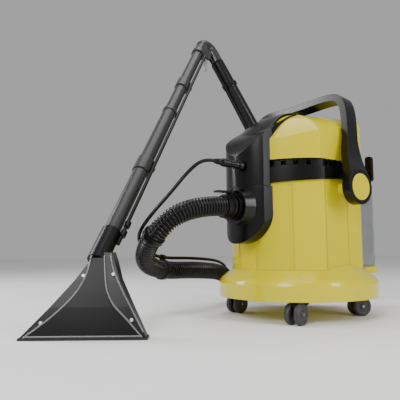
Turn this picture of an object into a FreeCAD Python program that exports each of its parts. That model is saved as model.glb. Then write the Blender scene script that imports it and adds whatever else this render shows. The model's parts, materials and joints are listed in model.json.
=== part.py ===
import math
import os
import re

import FreeCAD
import Part
import Sketcher
from FreeCAD import Placement, Rotation, Vector

os.makedirs("parts", exist_ok=True)
doc = FreeCAD.newDocument("carpet_cleaner")

# ---------------------------------------------------------------- driving dimensions, mm
# Machine axes: X towards the near side, -Y towards the hose end, +Z up.
SIZES = {
    "axis_x": 100.68, "axis_y": 210.24,             # where the drum's axis stands
    "wall": 3, "gap": 0.4,
    "base_radius": 193, "base_low": 48.3, "base_skirt": 82, "tray_top": 114.4,
    "tub_radius": 160, "tub_flat": 147, "tub_floor": 107.4, "tub_top": 330,
    "bucket_radius": 153, "bucket_flat": 140, "bucket_top": 300,
    "band_radius": 165, "band_flat": 152, "band_low": 320.5, "band_tilt": 4, "deck_low": 334, "deck_top": 345,
    "vent_radius": 157.5, "vent_flat": 145, "dome_low": 363.4,
    "dome_radius": 164.4, "dome_flat": 148, "dome_top": 490,
    "hood_half": 70, "hood_edge": 168, "hood_front": 196, "hood_low": 174, "hood_seam": 303,
    "pivot_level": 297.5, "lobe_radius": 39.5, "lobe_in": 179, "lobe_out": 199.5, "bail_lean": 8, "boss_radius": 14,
    "pin_radius": 8, "cap_radius": 29.9,
    "wheel_radius": 23, "wheel_width": 13, "caster_circle": 163, "caster_trail": 18,
    "axle_radius": 3, "stem_radius": 4,
    "tank_half": 86, "tank_back": 226, "tank_low": 114.8, "tank_top": 326, "tank_corner": 30,
    "socket_level": 258, "socket_side": 8, "socket_radius": 31, "cuff_radius": 26.5, "cuff_end": 240,
    "hose_radius": 22, "spray_radius": 4,
    "motor_radius": 62, "motor_top": 440, "float_lift": 12,
    "button_travel": 2.5,
    "tube_radius": 17.5, "tube_wall": 2, "sleeve_radius": 20.5, "pipe_radius": 4, "pipe_offset": 25,
    "nozzle_half": 115,
}
sizes = doc.addObject("Spreadsheet::Sheet", "sizes")
for row, (alias, number) in enumerate(SIZES.items(), start=1):
    sizes.set(f"A{row}", alias)
    sizes.set(f"B{row}", str(number))
    sizes.setAlias(f"B{row}", alias)
doc.recompute()


def val(alias):
    """A cell's number."""
    return float(getattr(sizes, alias))


# ---------------------------------------------------------------- small tools
def tied(word):
    """An alias as the expression engine names it."""
    return "sizes." + word.group() if word.group() in SIZES else word.group()


def bind(thing, prop, value):
    """Set a property to a number, or tie it to the sheet with an expression of aliases."""
    if isinstance(value, str):
        thing.setExpression(prop, re.sub(r"[a-z_]{3,}", tied, value))
    else:
        setattr(thing, prop, value)


def moved(thing, x, y, z):
    thing.Placement.Base = Vector(*(0 if isinstance(value, str) else value for value in (x, y, z)))
    for prop, value in (("x", x), ("y", y), ("z", z)):
        if isinstance(value, str):
            bind(thing, "Placement.Base." + prop, value)
    return thing


def cylinder(name, radius, height, x=0, y=0, z=0, axis=Vector(0, 0, 1)):
    rod = doc.addObject("Part::Cylinder", name)
    rod.Placement = Placement(Vector(), Rotation(Vector(0, 0, 1), axis))
    bind(rod, "Radius", radius)
    bind(rod, "Height", height)
    return moved(rod, x, y, z)


def cone(name, low_radius, high_radius, height, x=0, y=0, z=0, axis=Vector(0, 0, 1)):
    frustum = doc.addObject("Part::Cone", name)
    frustum.Placement = Placement(Vector(), Rotation(Vector(0, 0, 1), axis))
    bind(frustum, "Radius1", low_radius)
    bind(frustum, "Radius2", high_radius)
    bind(frustum, "Height", height)
    return moved(frustum, x, y, z)


def box(name, length, width, height, x=0, y=0, z=0):
    """A block with its low corner at x, y, z."""
    block = doc.addObject("Part::Box", name)
    bind(block, "Length", length)
    bind(block, "Width", width)
    bind(block, "Height", height)
    return moved(block, x, y, z)


def fuse(name, *shapes):
    union = doc.addObject("Part::MultiFuse", name)
    union.Shapes = list(shapes)
    return union


def common(name, *shapes):
    overlap = doc.addObject("Part::MultiCommon", name)
    overlap.Shapes = list(shapes)
    return overlap


def cut(name, base, *tools):
    rest = doc.addObject("Part::Cut", name)
    rest.Base = base
    rest.Tool = tools[0] if len(tools) == 1 else fuse(name + "_tools", *tools)
    return rest


def feature(name, shape):
    thing = doc.addObject("Part::Feature", name)
    thing.Shape = shape
    return thing


def plan(name, radius, flat, low, high):
    """The drum's plan, a circle with a flat on each side, between two levels."""
    disc = cylinder(name + "_disc", radius, f"{high} - ({low})", z=low)
    slab = box(name + "_slab", f"2 * ({flat})", f"2 * ({radius})", f"{high} - ({low})",
               f"-({flat})", f"-({radius})", low)
    return common(name + "_plan", disc, slab)


SUBPARTS = []


def subpart(label, thing, placement=None):
    """Name a finished piece and stand it in the part's frame."""
    thing.Label = label
    if placement is None:
        moved(thing, "axis_x", "axis_y", 0)
    else:
        thing.Placement = placement
    SUBPARTS.append(thing)
    return thing


def plane(body, role):
    return next(item for item in body.Origin.OriginFeatures if item.Role == role)


def sketch(body, name, role):
    drawing = body.newObject("Sketcher::SketchObject", name)
    drawing.AttachmentSupport = (plane(body, role), [""])
    drawing.MapMode = "FlatFace"
    return drawing


def circle(drawing, radius):
    """A circle about the sketch's origin whose radius is tied to the sheet."""
    index = drawing.addGeometry(Part.Circle(Vector(), Vector(0, 0, 1), 10))
    drawing.addConstraint(Sketcher.Constraint("Coincident", index, 3, -1, 1))
    number = drawing.addConstraint(Sketcher.Constraint("Radius", index, 10))
    bind(drawing, f"Constraints[{number}]", str(radius))


def ring_body(name, outer, inner, length, start=0):
    """A PartDesign pad of one or two circles."""
    body = doc.addObject("PartDesign::Body", name)
    drawing = sketch(body, name + "_sketch", "XY_Plane")
    drawing.AttachmentOffset = Placement(Vector(0, 0, start), Rotation())
    circle(drawing, outer)
    if inner is not None:
        circle(drawing, inner)
    pad = body.newObject("PartDesign::Pad", name + "_pad")
    pad.Profile = drawing
    bind(pad, "Length", length)
    return body


def revolved_body(name, outline):
    """A PartDesign revolution about Z of a closed outline of (radius, height) points."""
    body = doc.addObject("PartDesign::Body", name)
    drawing = sketch(body, name + "_sketch", "XZ_Plane")
    for start, end in zip(outline, outline[1:] + outline[:1]):
        drawing.addGeometry(Part.LineSegment(Vector(*start, 0), Vector(*end, 0)))
    turn = body.newObject("PartDesign::Revolution", name + "_turn")
    turn.Profile = drawing
    turn.ReferenceAxis = (drawing, ["V_Axis"])
    turn.Angle = 360
    return body


# ---------------------------------------------------------------- base ring and casters
skirt = val("base_radius")
ring_turn = revolved_body("ring", [
    (skirt, val("base_low")), (skirt, val("base_skirt")), (skirt - 3, 89), (skirt - 8, 95),
    (skirt - 33, 114), (143, 128), (143, val("tub_floor") - 0.4), (110, val("tub_floor") - 0.4),
    (110, 103.5), (158, 103.5), (skirt - 10, 90), (skirt - 3, 80), (skirt - 3, val("base_low")),
])
ring_sockets = []
ring_bores = []
for corner in (45, 135, 225, 315):
    away = (f"caster_circle * cos({corner})", f"caster_circle * sin({corner})")
    ring_sockets.append(cylinder(f"socket_{corner}", 11, 55, *away, 50))
    ring_bores.append(cylinder(f"bore_{corner}", "stem_radius + 0.07", 47, *away, 49))
tray = box("tray", "2 * tank_half + 8", 74, 16, "-tank_half - 4", 155, "tray_top - 16")
tray_round = doc.addObject("Part::Fillet", "tray_round")
tray_round.Base = tray
tray_round.Edges = [(edge, val("tank_corner"), val("tank_corner")) for edge in (3, 7)]
tub_space = plan("tub_space", "tub_radius + gap", "tub_flat + gap", "tub_floor - 0.4", "tub_top")
below = cylinder("below_tray", "base_radius - 3", 46, z="base_low")
tray_only = cut("tray_only", tray_round, below)
subpart("base_ring", cut("base", fuse("base_whole", ring_turn, tray_only, *ring_sockets),
                         tub_space, *ring_bores))

# Each caster trails its own way: name, stem corner, way that the wheels trail.
CASTERS = (("front_right", 315, 284), ("front_left", 225, 96), ("back_right", 45, 250), ("back_left", 135, 70))


def caster_parts(place, corner, trail_way):
    stem = Vector(val("axis_x") + val("caster_circle") * math.cos(math.radians(corner)),
                  val("axis_y") + val("caster_circle") * math.sin(math.radians(corner)), 0)
    stands = Placement(stem, Rotation(Vector(0, 0, 1), trail_way))
    # The fork is drawn with its wheels trailing along +X and its axle along Y.
    post = cylinder("post_" + place, "stem_radius", 45, z=47)
    disc = cylinder("disc_" + place, 13, 3.2, z=46.4)
    cheek = box("cheek_" + place, "caster_trail + 16", 9, 30, -8, -4.5, 17)
    round_cheek = doc.addObject("Part::Fillet", "round_cheek_" + place)
    round_cheek.Base = cheek
    round_cheek.Edges = [(edge, 4, 4) for edge in (2, 4, 6, 8)]
    hub = cylinder("hub_" + place, 8, 9, "caster_trail", 4.5, "wheel_radius", Vector(0, -1, 0))
    eye = cylinder("eye_" + place, "axle_radius + 0.06", 20, "caster_trail", 10, "wheel_radius",
                   Vector(0, -1, 0))
    subpart("caster_fork_" + place, cut("fork_" + place, fuse("fork_whole_" + place, post, disc,
                                                            round_cheek, hub), eye), stands)
    axle = ring_body("axle_" + place, "axle_radius", None, "2 * wheel_width + 12")
    lies = Rotation(Vector(1, 0, 0), 90)
    middle = Vector(val("caster_trail"), 0, val("wheel_radius"))
    half_axle = Vector(0, val("wheel_width") + 6, 0)
    subpart("caster_axle_" + place, axle, stands * Placement(middle + half_axle, lies))
    radius, width = val("wheel_radius"), val("wheel_width")
    tread = [(val("axle_radius"), 1), (8, 1), (8, 0), (radius - 4, 0), (radius - 1.2, 1.2), (radius, 4),
             (radius, width - 3), (radius - 1, width - 1), (radius - 3, width), (radius - 7, width),
             (radius - 9, width - 1.2), (8, width - 1.2), (7, width + 1), (val("axle_radius"), width + 1)]
    face = Part.Face(Part.makePolygon([Vector(r, 0, z) for r, z in tread + tread[:1]]))
    wheel = face.revolve(Vector(), Vector(0, 0, 1), 360)
    sides = []
    for side in (90, -90):
        other = wheel.copy()
        other.Placement = Placement(middle, Rotation(Vector(1, 0, 0), side)) * Placement(Vector(0, 0, 5.2),
                                                                                      Rotation())
        sides.append(other)
    subpart("caster_wheels_" + place, feature("wheels_" + place, Part.makeCompound(sides)), stands)


for place, corner, trail_way in CASTERS:
    caster_parts(place, corner, trail_way)

# ---------------------------------------------------------------- tub, bucket and rim seal
across = Vector(1, 0, 0)
front = Vector(0, -1, 0)
tub_outer = plan("tub_outer", "tub_radius", "tub_flat", "tub_floor", "tub_top")
tub_inner = plan("tub_inner", "tub_radius - wall", "tub_flat - wall", "tub_floor + wall", "tub_top + 5")
bosses = [cylinder("boss_near", "boss_radius", "lobe_in - tub_flat + 1.6", "tub_flat - 2", 0, "pivot_level", across),
          cylinder("boss_far", "boss_radius", "lobe_in - tub_flat + 1.6", "2 - tub_flat", 0, "pivot_level", -across)]
pin_holes = cylinder("pin_holes", "pin_radius", 400, -200, 0, "pivot_level", across)
inlet = cylinder("inlet", "socket_radius + gap", 80, "socket_side", -120, "socket_level", front)
grooves = []
for number, way in enumerate((-40.2, -11.2, 11.2, 40.2, 139.8, 168.8, 191.2, 220.2)):
    groove = box(f"groove_{number}", 9, 4, 190)
    turned = Rotation(Vector(0, 0, 1), way)
    groove.Placement = Placement(turned.multVec(Vector(-4.5, -val("tub_radius") - 2.4, 116)), turned)
    grooves.append(groove)
for number, place in enumerate((-58, 17)):
    for way in (1, -1):
        seam_cut = box(f"seam_{number}_{way + 1}", 4, 1.6, 205, way * (val("tub_flat") + 1) - 2, place, 112)
        grooves.append(seam_cut)
tub = cut("tub_shell", fuse("tub_whole", tub_outer, *bosses), tub_inner, pin_holes, inlet, *grooves)
subpart("tub", tub)

bucket_outer = plan("bucket_outer", "bucket_radius", "bucket_flat", "tub_floor + 4", "bucket_top")
bucket_inner = plan("bucket_inner", "bucket_radius - 2.2", "bucket_flat - 2.2", "tub_floor + 6.5",
                    "bucket_top + 1")
bucket_inlet = cylinder("bucket_inlet", "socket_radius + 4", 60, "socket_side", -115, "socket_level", front)
bucket_mouth = box("bucket_mouth", "2 * socket_radius + 8", 60, 60, "socket_side - socket_radius - 4", -175,
                   "socket_level")
subpart("dirty_water_bucket", cut("bucket", bucket_outer, bucket_inner, bucket_inlet, bucket_mouth))

seal_outer = plan("seal_outer", "tub_radius", "tub_flat", "tub_top + 0.2", "deck_low - 0.2")
seal_inner = plan("seal_inner", "tub_radius - 7", "tub_flat - 7", "tub_top", "deck_low")
subpart("rim_seal", cut("seal", seal_outer, seal_inner))

# ---------------------------------------------------------------- head: deck, vents, dome
deck = plan("deck", "band_radius", "band_flat", "band_low - 15", "deck_top")
deck_room = plan("deck_room", "band_radius - 3.4", "band_flat - 3.4", "band_low - 20", "deck_low")
slope = box("slope", 500, 500, 100, -250, 0, 0)
tilt = Rotation(across, val("band_tilt"))
slope.Placement = Placement(Vector(-250, 0, val("band_low")), Rotation()) * Placement(
    Vector(), tilt) * Placement(Vector(0, -250, -100), Rotation())
intake = cylinder("intake", 34, 60, z=300)
subpart("head_base", cut("head", deck, deck_room, slope, intake))

vent_outer = plan("vent_outer", "vent_radius", "vent_flat", "deck_top + 0.2", "dome_low - 0.3")
vent_inner = plan("vent_inner", "vent_radius - 5", "vent_flat - 5", "deck_top", "dome_low")
vents = []
for way in range(-55, 56, 10):
    for back in (0, 180):
        slot = box(f"slot_{way + back}", 12, 20, 9, 0, 0, 0)
        slot.Placement = Placement(Vector(0, 0, val("deck_top") + 5), Rotation(Vector(0, 0, 1), way + back)) \
            * Placement(Vector(-6, -val("vent_radius") - 8, 0), Rotation())
        vents.append(slot)
for way in (1, -1):
    for place in range(-54, 45, 16):
        vents.append(box(f"side_slot_{place + 60}_{way + 1}", 14, 11, 9, way * (val("vent_flat") - 2) - 7, place,
                         "deck_top + 5"))
subpart("vent_grille", cut("vent", vent_outer, vent_inner, *vents))


def plan_solid(radius, flat, low, high):
    """The same plan as plan(), as a bare solid."""
    disc = Part.makeCylinder(radius, high - low, Vector(0, 0, low))
    return disc.common(Part.makeBox(2 * flat, 2 * radius, high - low, Vector(-flat, -radius, low)))


def above(level, rise):
    """A big block above a plane that rises towards the back."""
    block = Part.makeBox(900, 900, 900, Vector(-450, -450, 0))
    block.Placement = Placement(Vector(0, 0, level), Rotation(across, math.degrees(math.atan(rise))))
    return block


# The crown's sections, from the shoulder up: inset, level and rise towards the back.
CROWN = ((0, 441, 0.2), (16, 458, 0.2), (44, 474, 0.13), (74, 484, 0.06), (104, 490, 0.0))


def dome_solid(grow):
    """The head's dome, standing proud of its own surface by grow."""
    radius, flat = val("dome_radius") + grow, val("dome_flat") + grow
    lift = grow + val("dome_top") - CROWN[-1][1]
    wires = []
    for inset, level, rise in CROWN:
        lower = plan_solid(radius - inset, flat - inset, 200, 700).cut(above(level + lift, rise))
        top = max(lower.Faces, key=lambda face: face.CenterOfMass.z)
        wires.append(top.OuterWire)
    wall = plan_solid(radius, flat, val("deck_top") + 0.4, 700).cut(above(CROWN[0][1] + lift, CROWN[0][2]))
    return wall.fuse(Part.makeLoft(wires, True, False)).removeSplitter()


dome_outside = dome_solid(0)
dome_shell = dome_outside.cut(dome_solid(-val("wall"))).common(
    plan_solid(300, 300, val("dome_low"), 600))
subpart("dome_cover", feature("dome", dome_shell))

# ---------------------------------------------------------------- hood: front covers and spine


def hood_solid(inside):
    """The hood that runs up the front and over the dome, smaller by inside all round."""
    half, edge, nose = val("hood_half") - inside, val("hood_edge") - inside, val("hood_front") - inside
    corners = [Vector(half, -60, 0), Vector(half, -143, 0), Vector(half - 4, -edge, 0)]
    mirror = [Vector(-p.x, p.y, 0) for p in reversed(corners)]
    outline = [Part.makePolygon(corners), Part.Arc(corners[-1], Vector(0, -nose, 0), mirror[0]).toShape(),
               Part.makePolygon(mirror + corners[:1])]
    column = Part.Face(Part.Wire([edge for wire in outline for edge in wire.Edges]))
    column.translate(Vector(0, 0, 120))
    column = column.extrude(Vector(0, 0, 420))
    middle = val("hood_low") + val("hood_half")
    keel = Part.makeCylinder(half, 300, Vector(0, 0, middle), front)
    keel = keel.fuse(Part.makeBox(2 * half, 300, 300, Vector(-half, -300, middle)))
    top = [(-nose - 4, 360), (-nose + 3, 385), (-nose + 18, 408), (-nose + 36, 427), (-122, 451), (-89, 471),
           (-50, 488), (0, 498)]
    brow = Part.BSplineCurve()
    brow.interpolate([Vector(-100, y, z - inside) for y, z in top])
    frame = [Vector(-100, 0, top[-1][1] - inside), Vector(-100, 0, 120), Vector(-100, -nose - 4, 120),
             Vector(-100, -nose - 4, top[0][1] - inside)]
    side = Part.Face(Part.Wire([brow.toShape()] + Part.makePolygon(frame).Edges))
    return column.common(keel).common(side.extrude(Vector(200, 0, 0)))


seam = val("hood_seam")
hood_wall = hood_solid(0).cut(hood_solid(val("wall")))
drum = plan_solid(val("tub_radius") + 0.5, val("tub_flat") + 0.5, 100, 345)
head_room = plan_solid(val("band_radius") + 0.5, val("band_flat") + 0.5, 300, 364).fuse(dome_solid(0.4))
lower_hood = hood_wall.common(plan_solid(400, 400, 100, seam - 0.2)).cut(drum)
spine_outline = [Vector(x, y, 300) for x, y in ((66, -180), (62, -150), (34, -20), (28, 60), (24, 104))]
spine_outline += [Vector(-p.x, p.y, 300) for p in reversed(spine_outline)]
spine_column = Part.Face(Part.makePolygon(spine_outline + spine_outline[:1])).extrude(Vector(0, 0, 300))
spine = dome_solid(4).cut(dome_solid(0.4)).common(spine_column)
upper_hood = hood_wall.common(plan_solid(400, 400, seam + 0.2, 600)).fuse(spine).cut(head_room)
upper_hood = max(upper_hood.Solids, key=lambda solid: solid.Volume)
subpart("upper_front_cover", feature("upper_hood", upper_hood))

side, level = val("socket_side"), val("socket_level")
collar = Part.makeCone(47, 40, 26, Vector(side, -181, level), front)
collar = collar.cut(drum)
bore = Part.makeCylinder(val("socket_radius") + val("gap"), 90, Vector(side, -140, level), front)
slot = Part.makeBox(26, 14, 5, Vector(side - 19, -212, level + 43.5))
subpart("lower_front_cover", feature("lower_hood", lower_hood.fuse(collar).cut(bore).cut(slot)))

pipe = cylinder("socket_pipe", "socket_radius", 66, "socket_side", -148, "socket_level", front)
pipe_bore = cylinder("socket_bore", "socket_radius - 5", 90, "socket_side", -140, "socket_level", front)
rim = cylinder("socket_rim", "socket_radius + 3", 4, "socket_side", -146, "socket_level", front)
subpart("suction_socket", cut("socket", fuse("socket_whole", pipe, rim), pipe_bore))

# ---------------------------------------------------------------- bail handle, pins and caps
lean = Placement(Vector(0, 0, val("pivot_level")), Rotation(across, -val("bail_lean")))
# Half of the bail's centre line in its own plane: distance from the middle, height above the pivots.
BAIL_LINE = ((189.3, -20), (189.3, 8), (184, 34), (173.5, 62), (166, 92), (160.5, 136), (154, 178), (147, 202),
             (135, 220), (115, 227.5), (90, 230), (45, 229), (0, 228))
BAIL_HALF = 8.5


def bail_side(grow):
    """The bail's outline at grow outside its centre line, from foot to foot."""
    line = [Vector(x, 0, z) for x, z in BAIL_LINE]
    line += [Vector(-x, 0, z) for x, z in reversed(BAIL_LINE[:-1])]
    points = []
    for index, point in enumerate(line):
        run = line[min(index + 1, len(line) - 1)] - line[max(index - 1, 0)]
        points.append(point + Vector(run.z, 0, -run.x).normalize() * grow)
    curve = Part.BSplineCurve()
    curve.interpolate(points)
    return curve.toShape()


outside, inside = bail_side(BAIL_HALF), bail_side(-BAIL_HALF)
feet = [Part.makeLine(outside.Vertexes[end].Point, inside.Vertexes[end].Point) for end in (0, 1)]
hoop = Part.Face(Part.Wire([outside, feet[1], inside, feet[0]]))
hoop.translate(Vector(0, -45, 0))
hoop = hoop.extrude(Vector(0, 90, 0))
lobe_radius = val("lobe_radius")
arm_side = Part.Face(Part.makePolygon([Vector(-250, y, z) for y, z in (
    (-18, 260), (-18, 120), (-lobe_radius + 1.4, 10), (-lobe_radius, 0), (-24, -40), (24, -40),
    (lobe_radius, 0), (lobe_radius - 1.4, 10), (18, 120), (18, 260), (-18, 260))])).extrude(Vector(500, 0, 0))
hoop = hoop.common(arm_side)
lobe_width = val("lobe_out") - val("lobe_in")
for way in (1, -1):
    lobe = Part.makeCylinder(lobe_radius, lobe_width, Vector(way * val("lobe_in"), 0, 0), across * way)
    beyond = Part.makeBox(60, 120, 60, Vector(way * (val("lobe_in") + 30) - 30, -60, -60))
    hoop = hoop.cut(beyond.cut(Part.makeCylinder(lobe_radius, 80, Vector(way * 170, 0, 0), across * way)))
    hoop = hoop.fuse(lobe)
hoop = hoop.cut(Part.makeCylinder(val("pin_radius") + 0.06, 500, Vector(-250, 0, 0), across))
for way in (1, -1):
    seat = Part.makeCylinder(val("cap_radius") + 0.3, 10, Vector(way * (val("lobe_out") - 2), 0, 0), across * way)
    hoop = hoop.cut(seat)
stand = Placement(Vector(val("axis_x"), val("axis_y"), 0), Rotation()) * lean
subpart("bail_handle", feature("bail", hoop), stand)

caps, pins = [], []
for way in (1, -1):
    plate = Part.makeCylinder(val("cap_radius"), 3.4, Vector(way * (val("lobe_out") - 1.8), 0, 0), across * way)
    rim_edges = [edge for edge in plate.Edges if abs(edge.CenterOfMass.x) > val("lobe_out")]
    caps.append(plate.makeFillet(1.4, rim_edges[:1]))
    start = Vector(way * (val("tub_flat") + 4), 0, 0)
    pins.append(Part.makeCylinder(val("pin_radius"), val("lobe_out") - val("tub_flat") - 6.6, start, across * way))
subpart("handle_caps", feature("caps", Part.makeCompound(caps)), stand)
level_stand = Placement(Vector(val("axis_x"), val("axis_y"), val("pivot_level")), Rotation())
subpart("handle_pins", feature("pins", Part.makeCompound(pins)), level_stand)

# ---------------------------------------------------------------- rear: clean-water tank and hooks


def tank_block(name, inset, low, high):
    block = box(name, f"2 * (tank_half - {inset})", f"tank_back - {inset} - 110", f"{high} - ({low})",
                f"-(tank_half - {inset})", 110, low)
    rounded = doc.addObject("Part::Fillet", name + "_round")
    rounded.Base = block
    rounded.Edges = [(edge, val("tank_corner") - inset, val("tank_corner") - inset) for edge in (3, 7)]
    return rounded


tank_outer = cut("tank_outer", tank_block("tank_block", 0, "tank_low", "tank_top"),
                 cylinder("tank_hollow", "tub_radius + 2.6", 300, z=60))
tank_inner = cut("tank_inner", tank_block("tank_core", 2.5, "tank_low + 2.5", "tank_top - 2.5"),
                 cylinder("tank_core_hollow", "tub_radius + 5.1", 300, z=60))
filler = box("filler", 52, 26, 12, -26, 180, "tank_top - 8")
subpart("clean_water_tank", cut("tank", tank_outer, tank_inner, filler))
lid = box("lid_plate", 60, 34, 3.4, -30, 178, "tank_top + 0.4")
lid_grip = box("lid_grip", 24, 5, 2, -12, 212, "tank_top + 0.4")
lid_barrel = cylinder("lid_barrel", 2.6, 56, -28, 178, "tank_top + 3", across)
subpart("tank_lid", fuse("lid", lid, lid_grip, lid_barrel))

hooks = []
for way in (-60, 60):
    arm = Part.makeBox(12, 84, 9, Vector(way - 6, 149, 350))
    blade = Part.makeBox(20, 9, 70, Vector(way - 10, 230, 342))
    edges = [edge for edge in blade.Edges if abs(edge.tangentAt(edge.FirstParameter).y) > 0.9]
    blade = blade.makeFillet(8, edges)
    hook = arm.fuse(blade).cut(plan_solid(val("vent_radius") + 0.3, val("vent_flat") + 0.3, 345, 364))
    hooks.append(hook.cut(plan_solid(val("band_radius") + 0.3, val("band_flat") + 0.3, 300, 345.2)))
subpart("cable_hooks", feature("hooks", Part.makeCompound(hooks)))
gland = cone("gland_taper", 8, 5.4, 24, 42, 153.2, 354, Vector(0, 1, 0))
subpart("cable_gland", cut("gland", gland, cylinder("gland_bore", 3.6, 40, 42, 150, 354, Vector(0, 1, 0))))

# ---------------------------------------------------------------- switches on top of the head
panel = Part.makeBox(44, 88, 30, Vector(-22, 14, 470.6))
panel = panel.makeFillet(9, [edge for edge in panel.Edges if edge.BoundBox.ZLength > 20])
panel = panel.cut(dome_solid(4.2))
BUTTONS = (("suction_button", 22), ("spray_button", 70))
for name, start in BUTTONS:
    panel = panel.cut(Part.makeBox(32.8, 26.8, 30, Vector(-16.4, start - 0.4, 497)))
    cap = Part.makeBox(32, 26, 4, Vector(-16, start, 499.8))
    subpart(name, feature(name + "_cap", cap.makeFillet(1.6, [e for e in cap.Edges if e.CenterOfMass.z > 503])))
subpart("switch_housing", feature("panel", panel))

# ---------------------------------------------------------------- inside the head and the tub
motor_top = val("motor_top")
casing = revolved_body("casing", [
    (val("motor_radius"), 345.4), (val("motor_radius"), motor_top), (16, motor_top), (16, motor_top - 3),
    (11, motor_top - 3), (11, motor_top - 13), (16, motor_top - 13), (16, motor_top - 4),
    (val("motor_radius") - 3, motor_top - 4), (val("motor_radius") - 3, 380), (11, 380), (11, 372),
    (val("motor_radius") - 3, 372), (val("motor_radius") - 3, 345.4)])
subpart("motor_housing", casing)
subpart("fan_rotor", revolved_body("rotor", [
    (0, 350), (12, 350), (12, 354), (54, 354), (54, 368), (9, 368), (9, 370), (4, 370), (4, 384), (26, 384),
    (26, 420), (4, 420), (4, motor_top - 5), (0, motor_top - 5)]))
bearings = [Part.makeCylinder(10.9, 7, Vector(0, 0, low)).cut(Part.makeCylinder(4.05, 7, Vector(0, 0, low)))
            for low in (372.5, motor_top - 12)]
subpart("motor_bearings", feature("bearings", Part.makeCompound(bearings)))
pump_case = box("pump_case", 48, 40, 38, -132, -20, "deck_top + 0.4")
pump_head = cylinder("pump_head", 12, 20, -108, -19, "deck_top + 20", front)
subpart("spray_pump", fuse("pump", pump_case, pump_head))
cage = ring_body("cage", 40, 37.5, 66, 267.5)
cage_floor = ring_body("cage_floor", 40, 12, 2.5, 265)
windows = []
for way in range(0, 360, 45):
    window = box(f"window_{way}", 14, 12, 40, 0, 0, 0)
    window.Placement = Placement(Vector(0, 0, 276), Rotation(Vector(0, 0, 1), way)) * Placement(
        Vector(-7, -44, 0), Rotation())
    windows.append(window)
subpart("float_cage", cut("cage_slotted", fuse("cage_whole", cage, cage_floor), *windows))
ball = doc.addObject("Part::Sphere", "ball")
bind(ball, "Radius", 22)
ball.Placement = Placement(Vector(0, 0, 290), Rotation())
subpart("float_ball", fuse("float_body", ball, cylinder("float_stem", 5, 24, z=298)))
subpart("foam_filter", ring_body("filter", 50, 41, 56, 272))

# ---------------------------------------------------------------- wand: one straight line up from the nozzle
NECK = Vector(-43.6, -511, 151)
HOSE_WAY = Vector(0.256, 0.354, -0.899)
up_wand = Vector(-0.370, 0.553, 0.746).normalize()
out_wand = (HOSE_WAY - up_wand * HOSE_WAY.dot(up_wand)).normalize()
offset = Vector(val("axis_x"), val("axis_y"), 0)
wand = Placement(offset + NECK, Rotation(out_wand, up_wand.cross(out_wand), up_wand, "XYZ"))
LOWER_JOINT, UPPER_JOINT, STEP = 281, 654, 512
GRIP, ELBOW, BEND = 848, 897, 28


def tube(radius, bore_radius, low, high):
    outer = Part.makeCylinder(radius, high - low, Vector(0, 0, low))
    return outer.cut(Part.makeCylinder(bore_radius, high - low + 2, Vector(0, 0, low - 1)))


tube_radius, sleeve = val("tube_radius"), val("sleeve_radius")
tube_bore = tube_radius - val("tube_wall")
fit = tube_radius + 0.3


def latch_ears(level):
    """Two ears on a sleeve with a pin hole that carry a latch."""
    ears = Part.makeBox(11, 3, 12, Vector(sleeve - 4, 6.4, level - 6))
    ears = ears.fuse(Part.makeBox(11, 3, 12, Vector(sleeve - 4, -9.4, level - 6)))
    return ears


lower = tube(tube_radius, tube_bore, 40, LOWER_JOINT - 6).fuse(tube(sleeve, tube_bore, LOWER_JOINT - 24,
                                                                     LOWER_JOINT - 8))
lower = lower.fuse(tube(sleeve, fit, LOWER_JOINT - 9, LOWER_JOINT + 20)).fuse(latch_ears(LOWER_JOINT + 4))
lower = lower.cut(Part.makeCylinder(tube_bore, 300, Vector(0, 0, 30)))
lower = lower.cut(Part.makeCylinder(fit, 60, Vector(0, 0, LOWER_JOINT - 5)))
subpart("lower_tube", feature("lower_tube_shape", lower), wand)
slim = tube_radius - 1.3
upper = tube(tube_radius, tube_bore, LOWER_JOINT - 4, STEP).fuse(tube(sleeve - 1, tube_bore, STEP - 6, STEP + 4))
upper = upper.fuse(tube(slim, tube_bore, STEP, UPPER_JOINT - 5))
upper = upper.fuse(tube(sleeve - 1, tube_bore, UPPER_JOINT - 22, UPPER_JOINT - 8))
upper = upper.fuse(tube(sleeve - 1, slim + 0.3, UPPER_JOINT - 9, UPPER_JOINT + 16))
ears = latch_ears(UPPER_JOINT + 2)
upper = upper.fuse(ears).cut(Part.makeCylinder(tube_bore, 700, Vector(0, 0, 250)))
upper = upper.cut(Part.makeCylinder(slim + 0.3, 60, Vector(0, 0, UPPER_JOINT - 4)))
subpart("upper_tube", feature("upper_tube_shape", upper), wand)


def latch(level):
    lever = Part.makeBox(4, 12.4, 34, Vector(sleeve + 2.6, -6.2, level - 24))
    barrel = Part.makeCylinder(2.7, 12.4, Vector(sleeve + 4.6, -6.2, level), Vector(0, 1, 0))
    return lever.makeFillet(1.8, lever.Edges).fuse(barrel)


subpart("lower_tube_latch", feature("lower_latch", latch(LOWER_JOINT + 4)), wand)
subpart("upper_tube_latch", feature("upper_latch", latch(UPPER_JOINT + 2)), wand)

pipe_side = val("pipe_offset") * math.sqrt(0.5)
spray_pipe = Part.makeCylinder(val("pipe_radius"), 808, Vector(pipe_side, -pipe_side, 36))
for low in (58, 84):
    spray_pipe = spray_pipe.fuse(Part.makeCylinder(6.6, 14, Vector(pipe_side * 1.06, -pipe_side * 1.06, low)))
room = Part.makeCylinder(sleeve + 0.3, 800, Vector(0, 0, 30))
spray_pipe = spray_pipe.cut(room.common(Part.makeBox(80, 80, 100, Vector(-40, -40, 20))))
subpart("spray_pipe", feature("spray_pipe_shape", spray_pipe), wand)

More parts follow.
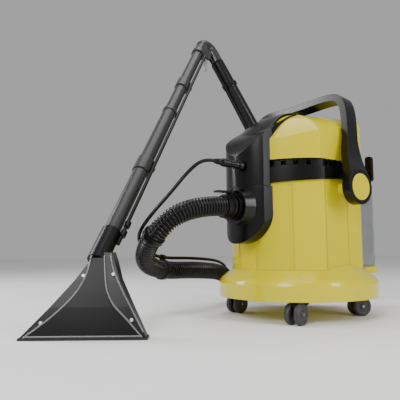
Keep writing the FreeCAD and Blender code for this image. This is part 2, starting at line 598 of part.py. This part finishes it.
# The grip: a straight shank, an elbow towards the hose, a cuff and the trigger's block.
turn = math.degrees(up_wand.getAngle(HOSE_WAY))
shank = Part.makeCylinder(slim, ELBOW - UPPER_JOINT + 3, Vector(0, 0, UPPER_JOINT - 3))
knob = Part.makeCylinder(sleeve, 16, Vector(0, 0, GRIP - 8))
ring_centre = Vector(BEND, 0, ELBOW)
elbow = Part.makeTorus(BEND, slim + 2, ring_centre, Vector(0, 1, 0), 0, 360, 360)
quarter = Part.Face(Part.makePolygon([
    ring_centre, ring_centre + Vector(-90, 0, 0), ring_centre + Vector(-90, 0, 90),
    ring_centre + Vector(90, 0, 90),
    ring_centre + Vector(-90 * math.cos(math.radians(turn)), 0, 90 * math.sin(math.radians(turn))),
    ring_centre]))
quarter.translate(Vector(0, -60, 0))
elbow = elbow.common(quarter.extrude(Vector(0, 120, 0)))
away = Vector(math.sin(math.radians(turn)), 0, math.cos(math.radians(turn)))
elbow_end = ring_centre + Vector(-BEND * math.cos(math.radians(turn)), 0, BEND * math.sin(math.radians(turn)))
CUFF = 36
cuff = Part.makeCylinder(slim + 3.2, CUFF, elbow_end - away * 0.5, away)
block = Part.makeBox(26, 22, 40, Vector(14, -11, GRIP + 10))
body_shell = Part.makeBox(30, 34, 46, Vector(-12, -17, GRIP + 8))
body_shell = body_shell.makeFillet(8, body_shell.Edges)
nest = Part.makeBox(28, 8, 60, Vector(24, -4, GRIP + 8 - 40))
grip = shank.fuse([knob, elbow, cuff, block, body_shell])
grip = grip.cut(Part.makeCylinder(13, ELBOW - UPPER_JOINT + 6, Vector(0, 0, UPPER_JOINT - 5)))
grip = grip.cut(Part.makeCylinder(13, CUFF + 4, elbow_end - away * 2, away)).cut(nest)
NIPPLE = Vector(50, 0, GRIP + 30)
grip = grip.fuse(Part.makeCylinder(5.6, 14, NIPPLE, -away))
pivot = Vector(33, 0, GRIP + 18)
grip = grip.cut(Part.makeCylinder(2, 40, pivot + Vector(0, -20, 0), Vector(0, 1, 0)))
subpart("grip_shell", feature("grip", grip), wand)
trigger = Part.Face(Part.makePolygon([Vector(x, -3.6, z) for x, z in (
    (29, GRIP + 24), (37, GRIP + 24), (40, GRIP), (44, GRIP - 24), (50, GRIP - 42), (44, GRIP - 44),
    (36, GRIP - 26), (31, GRIP), (28, GRIP + 14), (29, GRIP + 24))])).extrude(Vector(0, 7.2, 0))
trigger = trigger.cut(Part.makeCylinder(2.06, 40, pivot + Vector(0, -20, 0), Vector(0, 1, 0)))
subpart("trigger", feature("trigger_shape", trigger), wand)
subpart("trigger_pin", feature("trigger_pin_shape", Part.makeCylinder(2, 21, pivot + Vector(0, -10.5, 0),
                                                                   Vector(0, 1, 0))), wand)

# ---------------------------------------------------------------- floor nozzle
WIDTH_WAY = Vector(0.585, 0.811, 0)
DEPTH_WAY = Vector(-0.811, 0.585, 0)
nozzle = Placement(offset + Vector(-9, -555, 0), Rotation(WIDTH_WAY, DEPTH_WAY, Vector(0, 0, 1), "XYZ"))
half = val("nozzle_half")
# Sections of the nozzle: height, left edge, right edge, front, back.
NOZZLE = ((5, -half, half, -12, 16), (57, -66, 88, 3, 32), (106, -24, 62, 19, 54), (140, 0, 50, 32, 74),
          (158, 6, 43, 38, 80))
WINDOW = ((6, -half + 4, 106), (36, -66, 72), (58, -40, 50), (84, -18, 38), (118, -1, 33), (148, 7, 31))


def slice_at(height, left, right, front_y, back_y):
    corners = [Vector(left, front_y, height), Vector(right, front_y, height), Vector(right, back_y, height),
               Vector(left, back_y, height)]
    return Part.makePolygon(corners + corners[:1])


def front_of(height):
    """The front face's depth at a height, between the nozzle's sections."""
    for low, high in zip(NOZZLE, NOZZLE[1:]):
        if height <= high[0]:
            share = (height - low[0]) / (high[0] - low[0])
            return low[3] + share * (high[3] - low[3])
    return NOZZLE[-1][3]


hull = Part.makeLoft([slice_at(*row) for row in NOZZLE], True, True)
core = Part.makeLoft([slice_at(z - 1, left + 4, right - 4, y0 + 3, y1 - 3) for z, left, right, y0, y1 in NOZZLE],
                     True, True)
nozzle_shell = hull.cut(core)
socket = tube(sleeve, tube_bore, -14, 66)
socket.Placement = nozzle.inverse() * wand
socket_room = Part.makeCylinder(fit, 90, Vector(0, 0, 37))
socket_room.Placement = nozzle.inverse() * wand
throat = Part.makeCylinder(tube_bore, 60, Vector(0, 0, -30))
throat.Placement = nozzle.inverse() * wand
nozzle_shell = nozzle_shell.fuse(socket).cut(socket_room).cut(throat)
nozzle_shell = max(nozzle_shell.Solids, key=lambda solid: solid.Volume)
subpart("nozzle_body", feature("nozzle_shape", nozzle_shell), nozzle)
pane = Part.makeLoft([slice_at(z, left, right, front_of(z) - 3.4, front_of(z) - 0.4) for z, left, right in WINDOW],
                     True, True)
subpart("nozzle_window", feature("window", pane), nozzle)
lip = Part.makeBox(2 * half + 6, 34, 4.6, Vector(-half - 3, -15, 0))
mouth = Part.makeBox(2 * half - 8, 8, 20, Vector(-half + 4, -6, -5))
subpart("nozzle_lip", feature("lip", lip.cut(mouth)), nozzle)
screws = []
for x, z in ((-78, 30), (-8, 114), (49, 116), (88, 34)):
    screws.append(Part.makeCylinder(3.4, 3, Vector(x, front_of(z) - 0.3, z), Vector(0, -1, 0.3)))
subpart("nozzle_screws", feature("screws", Part.makeCompound(screws)), nozzle)
jet = Part.makeCylinder(5, 16, Vector(20, 66, 60), Vector(0, 0.5, -1))
subpart("spray_jet", feature("jet", jet), nozzle)

# ---------------------------------------------------------------- suction hose and spray hose
grip_end = wand.multVec(elbow_end + away * (CUFF + 1.8)) - offset
# The hose's route from its cuff on the machine to the wand's grip.
HOSE = [Vector(side, -val("cuff_end") - 0.9, level), Vector(side, -340, 255), Vector(-33, -402, 188),
        Vector(-126, -369, 135), Vector(-188, -285, 110), Vector(-195, -178, 109), Vector(-240, -45, 98),
        Vector(-295, 21, 62), Vector(-341, 103, 28), Vector(-337, 187, 23), Vector(-298, 251, 23),
        Vector(-259, 304, 58), Vector(-235, 335, 122), Vector(-229, 336, 197), grip_end]
SPRAY = [Vector(8, -262, 359), Vector(2, -287, 362), Vector(-9, -320, 334), Vector(-27, -356, 284),
         Vector(-43, -392, 240), Vector(-72, -412, 196), Vector(-128, -372, 167), Vector(-190, -287, 141),
         Vector(-197, -180, 140), Vector(-242, -47, 129), Vector(-297, 20, 93), Vector(-344, 103, 60),
         Vector(-341, 184, 55), Vector(-305, 243, 58), Vector(-270, 290, 86), Vector(-252, 313, 132),
         Vector(-247, 315, 184), Vector(-306, 163, 475)]


def rounded_path(points):
    """Straight runs joined by tangent arcs, each as large as its two runs allow."""
    edges, arcs, start = [], [], points[0]
    for before, corner, after in zip(points, points[1:], points[2:]):
        back, ahead = (before - corner), (after - corner)
        half_turn = (math.pi - back.getAngle(ahead)) / 2
        reach = 0.45 * min(back.Length, ahead.Length)
        back.normalize()
        ahead.normalize()
        first, last = corner + back * reach, corner + ahead * reach
        to_centre = (back + ahead).normalize()
        radius = reach / math.tan(half_turn)
        middle = corner + to_centre * (radius / math.cos(half_turn) - radius)
        edges.append(Part.LineSegment(start, first).toShape())
        edges.append(Part.Arc(first, middle, last).toShape())
        arcs.append((middle, (ahead - back).normalize(), radius))
        start = last
    edges.append(Part.LineSegment(start, points[-1]).toShape())
    return Part.Wire(edges), arcs


def hose_tube(label, points, radius):
    path, arcs = rounded_path(points)
    profile = Part.Wire(Part.makeCircle(radius, points[0], points[1] - points[0]))
    solid = path.makePipeShell([profile], True, False)
    ideal = math.pi * radius ** 2 * path.Length
    print(f"{label}: length {path.Length:.0f} mm, volume ratio {solid.Volume / ideal:.4f}, radii",
          [round(arc[2]) for arc in arcs])
    subpart(label, feature(label + "_tube", solid))
    return path, arcs


hose_path, hose_arcs = hose_tube("suction_hose", HOSE, val("hose_radius"))
spray_route = SPRAY + [wand.multVec(NIPPLE) - offset]
spray_path, spray_arcs = hose_tube("spray_hose", spray_route, val("spray_radius"))
print("hose to spray hose", round(hose_path.distToShape(spray_path)[0], 1))

cuff_plug = cylinder("cuff_plug", "socket_radius - 5.4", 30, "socket_side", -188, "socket_level", front)
cuff_body = cylinder("cuff_body", "cuff_radius", "cuff_end - 217", "socket_side", -217, "socket_level", front)
cuff_ring = cylinder("cuff_ring", "cuff_radius + 3", 7, "socket_side", -219, "socket_level", front)
cuff_bore = cylinder("cuff_bore", 19, 100, "socket_side", -180, "socket_level", front)
subpart("hose_cuff", cut("cuff", fuse("cuff_whole", cuff_plug, cuff_body, cuff_ring), cuff_bore))
lever = Part.makeBox(16, 42, 4.5, Vector(side - 12, -256, level + val("cuff_radius") + 4.2))
hinge = Part.makeCylinder(3, 16, Vector(side - 12, -238, level + val("cuff_radius") + 6.4), across)
hook = Part.makeBox(16, 5, 8, Vector(side - 12, -219, level + val("cuff_radius") + 4.2))
subpart("hose_latch", feature("latch_lever", lever.fuse([hook, hinge])))

plug_way = Vector(-17, -70, 9).normalize()
plug_end = SPRAY[0]
plug_base = plug_end - plug_way * 60.3
spray_seat = cylinder("spray_seat", 10, 10, plug_base.x, plug_base.y, plug_base.z, -plug_way)
spray_flange = cylinder("spray_flange", 12, 3, plug_base.x, plug_base.y, plug_base.z, -plug_way)
subpart("spray_socket", fuse("spray_socket_whole", spray_seat, spray_flange))
plug = revolved_body("plug", [(0, 0), (9, 0), (9, 12), (7.4, 14), (7.4, 20), (9.6, 22), (9.6, 40), (7, 46), (7, 52),
                              (5.2, 60), (0, 60)])
subpart("spray_plug", plug, Placement(offset + plug_end - plug_way * 60, Rotation(Vector(0, 0, 1), plug_way)))

# Each clip is a ring round the suction hose with a smaller one that carries the spray hose.
last_leg = HOSE[-2] - HOSE[-1]
places = [hose_arcs[index][:2] for index in (1, 3, 7)] + [(HOSE[-1] + last_leg * 0.13, last_leg.normalize())]
clips = []
for middle, way in places:
    beside = spray_path.distToShape(Part.Vertex(middle))[1][0][0]
    beside = beside - way * (beside - middle).dot(way)
    outer = Part.makeCylinder(val("hose_radius") + 3, 12, middle - way * 6, way)
    outer = outer.fuse(Part.makeCylinder(val("spray_radius") + 3, 12, beside - way * 6, way))
    room = Part.makeCylinder(val("hose_radius") + 0.3, 20, middle - way * 10, way)
    clip = outer.cut(room).cut(Part.makeCylinder(val("spray_radius") + 0.9, 20, beside - way * 10, way))
    clips.append(max(clip.Solids, key=lambda solid: solid.Volume))
subpart("hose_clips", feature("clips", Part.makeCompound(clips)))

# ---------------------------------------------------------------- checks and files
doc.recompute()
bad = [item.Name for item in doc.Objects if {"Invalid", "Error"} & set(item.State)]
if bad:
    raise RuntimeError(f"failed objects: {bad}")
whole = FreeCAD.BoundBox()
for thing in SUBPARTS:
    if thing.Shape.isNull() or not thing.Shape.isValid() or not thing.Shape.Solids:
        raise RuntimeError(f"{thing.Label} has no valid solid")
    if thing.Label not in ("suction_hose", "spray_hose", "hose_cuff", "hose_latch", "spray_plug", "hose_clips"):
        whole.add(thing.Shape.BoundBox)
for thing in SUBPARTS:
    thing.Shape.exportStep(f"parts/{thing.Label}.step")
print(len(SUBPARTS), "sub-parts; box without the hoses", whole)
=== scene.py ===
import bpy
import json
import math
from mathutils import Matrix, Vector


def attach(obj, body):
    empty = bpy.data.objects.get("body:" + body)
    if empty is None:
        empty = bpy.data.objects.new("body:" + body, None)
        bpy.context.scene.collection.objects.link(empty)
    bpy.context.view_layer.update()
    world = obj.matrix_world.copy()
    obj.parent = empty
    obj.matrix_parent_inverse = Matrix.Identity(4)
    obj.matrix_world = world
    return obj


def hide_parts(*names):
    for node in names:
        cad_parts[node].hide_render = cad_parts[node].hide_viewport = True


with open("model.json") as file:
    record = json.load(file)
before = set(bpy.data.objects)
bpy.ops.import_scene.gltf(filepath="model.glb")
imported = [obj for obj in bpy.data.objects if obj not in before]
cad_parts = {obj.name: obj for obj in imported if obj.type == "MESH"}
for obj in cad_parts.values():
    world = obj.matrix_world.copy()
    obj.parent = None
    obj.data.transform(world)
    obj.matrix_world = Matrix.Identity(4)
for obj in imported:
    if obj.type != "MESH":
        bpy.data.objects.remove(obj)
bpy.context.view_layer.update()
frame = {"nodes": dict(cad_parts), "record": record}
NODES = frame["nodes"]
AXIS = Vector((0.10068, 0.21024, 0.0))            # the drum's axis on the floor


def at(x, y, z):
    """A point given in millimetres from the drum's axis."""
    return AXIS + Vector((x, y, z)) / 1000


# ---------------------------------------------------------------- camera
AZIMUTH, PITCH, ROLL = 0.946, 0.1012, -0.0082     # radians
LENS, SENSOR = 43.43, 36                          # millimetres
CAMERA_PLACE = at(851.7, -910.9, 162.9)

level_right = Vector((math.cos(AZIMUTH), math.sin(AZIMUTH), 0))
ahead = Vector((-math.sin(AZIMUTH) * math.cos(PITCH), math.cos(AZIMUTH) * math.cos(PITCH), math.sin(PITCH)))
level_up = level_right.cross(ahead)
right = level_right * math.cos(ROLL) + level_up * math.sin(ROLL)
up = level_up * math.cos(ROLL) - level_right * math.sin(ROLL)
camera_data = bpy.data.cameras.new("camera")
camera_data.lens = LENS
camera_data.sensor_width = SENSOR
camera = bpy.data.objects.new("camera", camera_data)
camera.matrix_world = (Matrix.Translation(CAMERA_PLACE)
                       @ Matrix((right, up, -ahead)).transposed().to_4x4())
bpy.context.scene.collection.objects.link(camera)
bpy.context.scene.camera = camera

# ---------------------------------------------------------------- materials
BROAD_SCALE, BROAD_DETAIL = 9, 6                  # the slow unevenness of colour and finish
GLOSS_SPREAD = 0.15                               # how far the roughness strays from its mean
GRAIN_DETAIL, GRAIN_DEPTH = 3, 0.0004
BEVEL_SAMPLES = 6


def ranged(tree, factor, middle, spread):
    """A value that strays from its middle by a share of it, led by a factor."""
    node = tree.nodes.new("ShaderNodeMapRange")
    node.inputs["To Min"].default_value = middle * (1 - spread)
    node.inputs["To Max"].default_value = middle * (1 + spread)
    tree.links.new(factor, node.inputs["Value"])
    return node.outputs["Result"]


def noise(tree, scale, detail):
    """Noise fixed to the piece."""
    where = tree.nodes.new("ShaderNodeTexCoord").outputs["Object"]
    node = tree.nodes.new("ShaderNodeTexNoise")
    node.inputs["Scale"].default_value = scale
    node.inputs["Detail"].default_value = detail
    tree.links.new(where, node.inputs["Vector"])
    return node.outputs["Fac"]


def material(name, colour, roughness, bump=0.1, grain=900.0, spread=0.06, edge=0.0012, **sockets):
    """Moulded plastic and the like: grain, slight unevenness of colour and finish, softened edges."""
    mat = bpy.data.materials.new(name)
    mat.use_nodes = True
    tree = mat.node_tree
    shader = tree.nodes["Principled BSDF"]
    for socket, value in sockets.items():
        shader.inputs[socket.replace("_", " ")].default_value = value
    broad = noise(tree, BROAD_SCALE, BROAD_DETAIL)
    tint = tree.nodes.new("ShaderNodeVectorMath")
    tint.operation = "SCALE"
    tint.inputs[0].default_value = colour
    tree.links.new(ranged(tree, broad, 1, spread), tint.inputs["Scale"])
    tree.links.new(tint.outputs["Vector"], shader.inputs["Base Color"])
    tree.links.new(ranged(tree, broad, roughness, GLOSS_SPREAD), shader.inputs["Roughness"])
    raised = tree.nodes.new("ShaderNodeBump")
    raised.inputs["Strength"].default_value = bump
    raised.inputs["Distance"].default_value = GRAIN_DEPTH
    tree.links.new(noise(tree, grain, GRAIN_DETAIL), raised.inputs["Height"])
    if edge:
        soft = tree.nodes.new("ShaderNodeBevel")
        soft.samples = BEVEL_SAMPLES
        soft.inputs["Radius"].default_value = edge
        tree.links.new(soft.outputs["Normal"], raised.inputs["Normal"])
    tree.links.new(raised.outputs["Normal"], shader.inputs["Normal"])
    return mat


JET = (0.002, 0.002, 0.002)
YELLOW = material("glossy yellow", (0.62, 0.52, 0.0), 0.2, bump=0.02, grain=140, spread=0.02, edge=0.002,
                  Coat_Weight=0.3, Coat_Roughness=0.05, Specular_IOR_Level=0.25)
BLACK = material("black plastic", JET, 0.32, bump=0.05, grain=1400, Specular_IOR_Level=0.25)
SATIN = material("satin black", JET, 0.24, bump=0.04, grain=1400, Specular_IOR_Level=0.32)
HOSE = material("black hose", JET, 0.3, bump=0.03, edge=0, Specular_IOR_Level=0.36)
RUBBER = material("black rubber", (0.012, 0.012, 0.012), 0.6, bump=0.3)
BUTTON = material("dark buttons", (0.035, 0.035, 0.04), 0.35)
LEVER = material("light lever", (0.26, 0.265, 0.27), 0.35)
GREY = material("grey plastic", (0.3, 0.31, 0.32), 0.4)
CLEAR = material("clear plastic", (0.6, 0.62, 0.63), 0.25, bump=0.0, Transmission_Weight=0.85, IOR=1.2)
PANE = material("smoked clear plastic", (0.003, 0.003, 0.004), 0.3, bump=0.02, Specular_IOR_Level=0.14)
RIB = material("clear moulded rib", (0.22, 0.225, 0.23), 0.15, bump=0.03, Transmission_Weight=0.3)
TUBE = material("satin grey tube", (0.016, 0.016, 0.017), 0.36, bump=0.02,
                Coat_Weight=0.2, Coat_Roughness=0.3)
FOAM = material("open foam", (0.08, 0.08, 0.09), 0.9, bump=0.9, grain=500)
STEEL = material("plain steel", (0.36, 0.36, 0.37), 0.36, Metallic=1.0)
ALLOY = material("cast alloy", (0.7, 0.7, 0.71), 0.4, Metallic=1.0)
TREAD = material("wheel tread", (0.03, 0.03, 0.032), 0.45, bump=0.3)
BY_SLOT = {
    "yellow_shell": YELLOW, "black_plastic": BLACK, "black_hose": HOSE, "rubber_seal": RUBBER,
    "dark_button": BUTTON, "light_lever": LEVER, "clear_plastic": CLEAR, "grey_plastic": GREY,
    "foam": FOAM, "steel": STEEL, "rotor_alloy": ALLOY, "caster_plastic": BLACK, "wheel_tread": TREAD}
BY_PIECE = {
    "bail_handle": SATIN, "upper_front_cover": SATIN, "lower_front_cover": SATIN,
    "lower_tube": TUBE, "upper_tube": TUBE, "grip_shell": TUBE, "nozzle_window": PANE}
for row in frame["record"]["subparts"]:
    name = row["node"]
    NODES[name].data.materials.clear()
    NODES[name].data.materials.append(BY_PIECE.get(name, BY_SLOT[row["material_slot"]]))


# ---------------------------------------------------------------- lines and tubes
def route_curve(name, route, depth=0.0):
    """One open NURBS spline through the route's corners."""
    curve = bpy.data.curves.new(name, "CURVE")
    curve.dimensions = "3D"
    curve.resolution_u = 24
    spline = curve.splines.new("NURBS")
    spline.points.add(len(route) - 1)
    for point, place in zip(spline.points, route):
        point.co = (*place, 1)
    spline.order_u = 3
    spline.use_endpoint_u = True
    curve.bevel_depth = depth
    curve.bevel_resolution = 6
    return bpy.data.objects.new(name, curve)


def line_points(route):
    """The points of the route's smooth line."""
    bare = route_curve("bare_line", route)
    bpy.context.scene.collection.objects.link(bare)
    bpy.context.view_layer.update()
    mesh = bpy.data.meshes.new_from_object(bare.evaluated_get(bpy.context.evaluated_depsgraph_get()))
    points = [vertex.co.copy() for vertex in mesh.vertices]
    bpy.data.objects.remove(bare)
    return points


def evenly(points, step):
    """The same line divided into even steps, and its length."""
    marks, length = [0.0], 0.0
    for a, b in zip(points, points[1:]):
        length += (b - a).length
        marks.append(length)
    count = round(length / step)
    even, index = [], 0
    for k in range(count + 1):
        mark = length * k / count
        while index < len(marks) - 2 and marks[index + 1] < mark:
            index += 1
        share = (mark - marks[index]) / (marks[index + 1] - marks[index])
        even.append(points[index].lerp(points[index + 1], min(1.0, share)))
    return even, length


def crossways(points):
    """For each point, two directions across the line, without twist."""
    last = len(points) - 1
    side = None
    for index in range(last + 1):
        along = (points[min(index + 1, last)] - points[max(index - 1, 0)]).normalized()
        if side is None:
            side = Vector((0, 0, 1)) if abs(along.z) < 0.9 else Vector((1, 0, 0))
        side = (side - along * side.dot(along)).normalized()
        yield side, along.cross(side)


def tube(name, points, radii, mat, around):
    """A smooth tube on the machine, with its own radius at each point of its line."""
    vertices, faces = [], []
    for point, radius, (side, other) in zip(points, radii, crossways(points)):
        for turn in range(around):
            angle = 2 * math.pi * turn / around
            vertices.append(point + side * (radius * math.cos(angle)) + other * (radius * math.sin(angle)))
    for ring in range(len(points) - 1):
        for turn in range(around):
            a, b = ring * around + turn, ring * around + (turn + 1) % around
            faces.append((a, b, b + around, a + around))
    mesh = bpy.data.meshes.new(name)
    mesh.from_pydata([tuple(vertex) for vertex in vertices], [], faces)
    mesh.validate()
    mesh.materials.append(mat)
    for polygon in mesh.polygons:
        polygon.use_smooth = True
    thing = bpy.data.objects.new(name, mesh)
    bpy.context.scene.collection.objects.link(thing)
    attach(thing, "machine")
    return thing


# ---------------------------------------------------------------- suction hose
HOSE_ROUTE = [
    at(8, -241, 258), at(8, -340, 255), at(-33, -402, 188), at(-126, -369, 135), at(-188, -285, 110),
    at(-195, -178, 109), at(-240, -45, 98), at(-295, 21, 62), at(-341, 103, 28), at(-337, 187, 23),
    at(-298, 251, 23), at(-259, 304, 58), at(-235, 335, 122), at(-229, 336, 197), at(-371.5, 46, 777.6)]
RIB_PITCH = 0.0072
RIB_RADII = [0.0222, 0.0220, 0.0206, 0.0182, 0.0178, 0.0182, 0.0206, 0.0220]
SHALLOW_RADIUS = max(RIB_RADII) - 0.0006          # where the ribs have faded out
SHALLOW_FROM, FADE = 0.66, 0.04                   # shares of the hose's length


def hose_radius(index, count):
    """The ribbed hose's radius, with the ribs fading on its last leg."""
    radius = RIB_RADII[index % len(RIB_RADII)]
    faded = min(1.0, max(0.0, (index / count - SHALLOW_FROM) / FADE))
    return radius + (SHALLOW_RADIUS - radius) * faded


smooth_line = line_points(HOSE_ROUTE)
hose_line, hose_length = evenly(smooth_line, RIB_PITCH / len(RIB_RADII))
hose_radii = [hose_radius(index, len(hose_line)) for index in range(len(hose_line))]
hose = tube("corrugated_hose", hose_line, hose_radii, HOSE, 40)
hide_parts("suction_hose")

# ---------------------------------------------------------------- spray hose
SPRAY_ROUTE = [
    at(8, -262, 359), at(2, -287, 362), at(-9, -320, 334), at(-27, -356, 284), at(-43, -392, 240),
    at(-72, -412, 196), at(-128, -372, 167), at(-190, -287, 141), at(-197, -180, 140), at(-242, -47, 129),
    at(-297, 20, 93), at(-344, 103, 60), at(-341, 184, 55), at(-305, 243, 58), at(-270, 290, 86),
    at(-252, 313, 132), at(-247, 315, 184), at(-306, 163, 475), at(-365.7, 15.3, 777.1)]
SPRAY_RADIUS = 0.004

thin = route_curve("thin_spray_hose", SPRAY_ROUTE, SPRAY_RADIUS)
thin.data.materials.append(BLACK)
bpy.context.scene.collection.objects.link(thin)
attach(thin, "machine")
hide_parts("spray_hose")
spray_length = evenly(line_points(SPRAY_ROUTE), SPRAY_RADIUS)[1]

# ---------------------------------------------------------------- nozzle ribs
ACROSS, BACK = Vector((0.585, 0.811, 0)), Vector((-0.811, 0.585, 0))
LIP = at(-9, -555, 0)                             # the middle of the nozzle's lip
FACE = ((5, -12), (57, 3), (106, 19), (140, 32), (158, 38))      # height and depth of the front face
PROUD = 2.4                                       # how far a rib's middle stands off the face
RIB_RADIUS, RIB_STEP = 0.0017, 0.004
WINDOW_RIBS = {
    "window_rib_left": ((-108, 5), (-75, 28), (-46, 53), (-21, 79), (-7, 104), (0, 124), (4, 152)),
    "window_rib_right": ((108, 5), (90, 24), (75, 40), (52, 61), (39, 84), (33, 112), (29, 152)),
    "window_rib_edge": ((110, 14), (97, 36), (83, 61), (69, 84), (56, 109), (45, 132), (41, 154)),
    "window_rib_lip": ((-107, 7), (-50, 7), (50, 7), (108, 7))}


def on_nozzle(across, height):
    """A point on the nozzle's front face, in millimetres across and up from the middle of its lip."""
    depth = FACE[0][1]
    for (low, near), (high, far) in zip(FACE, FACE[1:]):
        if height >= low:
            depth = near + (far - near) * min(1.0, (height - low) / (high - low))
    return LIP + (ACROSS * across + BACK * (depth - PROUD)) / 1000 + Vector((0, 0, height / 1000))


for name, places in WINDOW_RIBS.items():
    line = evenly(line_points([on_nozzle(*place) for place in places]), RIB_STEP)[0]
    rib = tube(name, line, [RIB_RADIUS] * len(line), RIB, 16)

# ---------------------------------------------------------------- floor and light
bpy.ops.mesh.primitive_plane_add(size=16, location=(0, 0, 0))
floor = bpy.context.object
floor.name = "studio_floor"
floor.data.materials.append(material("pale floor", (0.9, 0.9, 0.9), 0.7, bump=0.0, spread=0.0, edge=0))

world = bpy.data.worlds.new("studio")
bpy.context.scene.world = world
world.use_nodes = True
world.node_tree.nodes["Background"].inputs["Color"].default_value = (1, 1, 1, 1)
world.node_tree.nodes["Background"].inputs["Strength"].default_value = 0.42


def softbox(name, place, aim, width, height, power):
    """A rectangular lamp that faces a point."""
    data = bpy.data.lights.new(name, "AREA")
    data.shape = "RECTANGLE"
    data.size, data.size_y, data.energy = width, height, power
    lamp = bpy.data.objects.new(name, data)
    lamp.location = place
    lamp.rotation_euler = (Vector(aim) - Vector(place)).to_track_quat("-Z", "Y").to_euler()
    bpy.context.scene.collection.objects.link(lamp)


softbox("key", (1.1, -1.9, 1.5), (0.1, 0.1, 0.3), 0.9, 0.9, 34)
softbox("left", (-1.5, -1.2, 1.3), (0.1, 0.1, 0.3), 0.5, 1.4, 30)
softbox("side", (2.0, 0.6, 1.0), (0.1, 0.2, 0.3), 0.4, 1.4, 22)
softbox("top", (0.1, 0.2, 2.4), (0.1, 0.1, 0.3), 1.8, 1.8, 24)
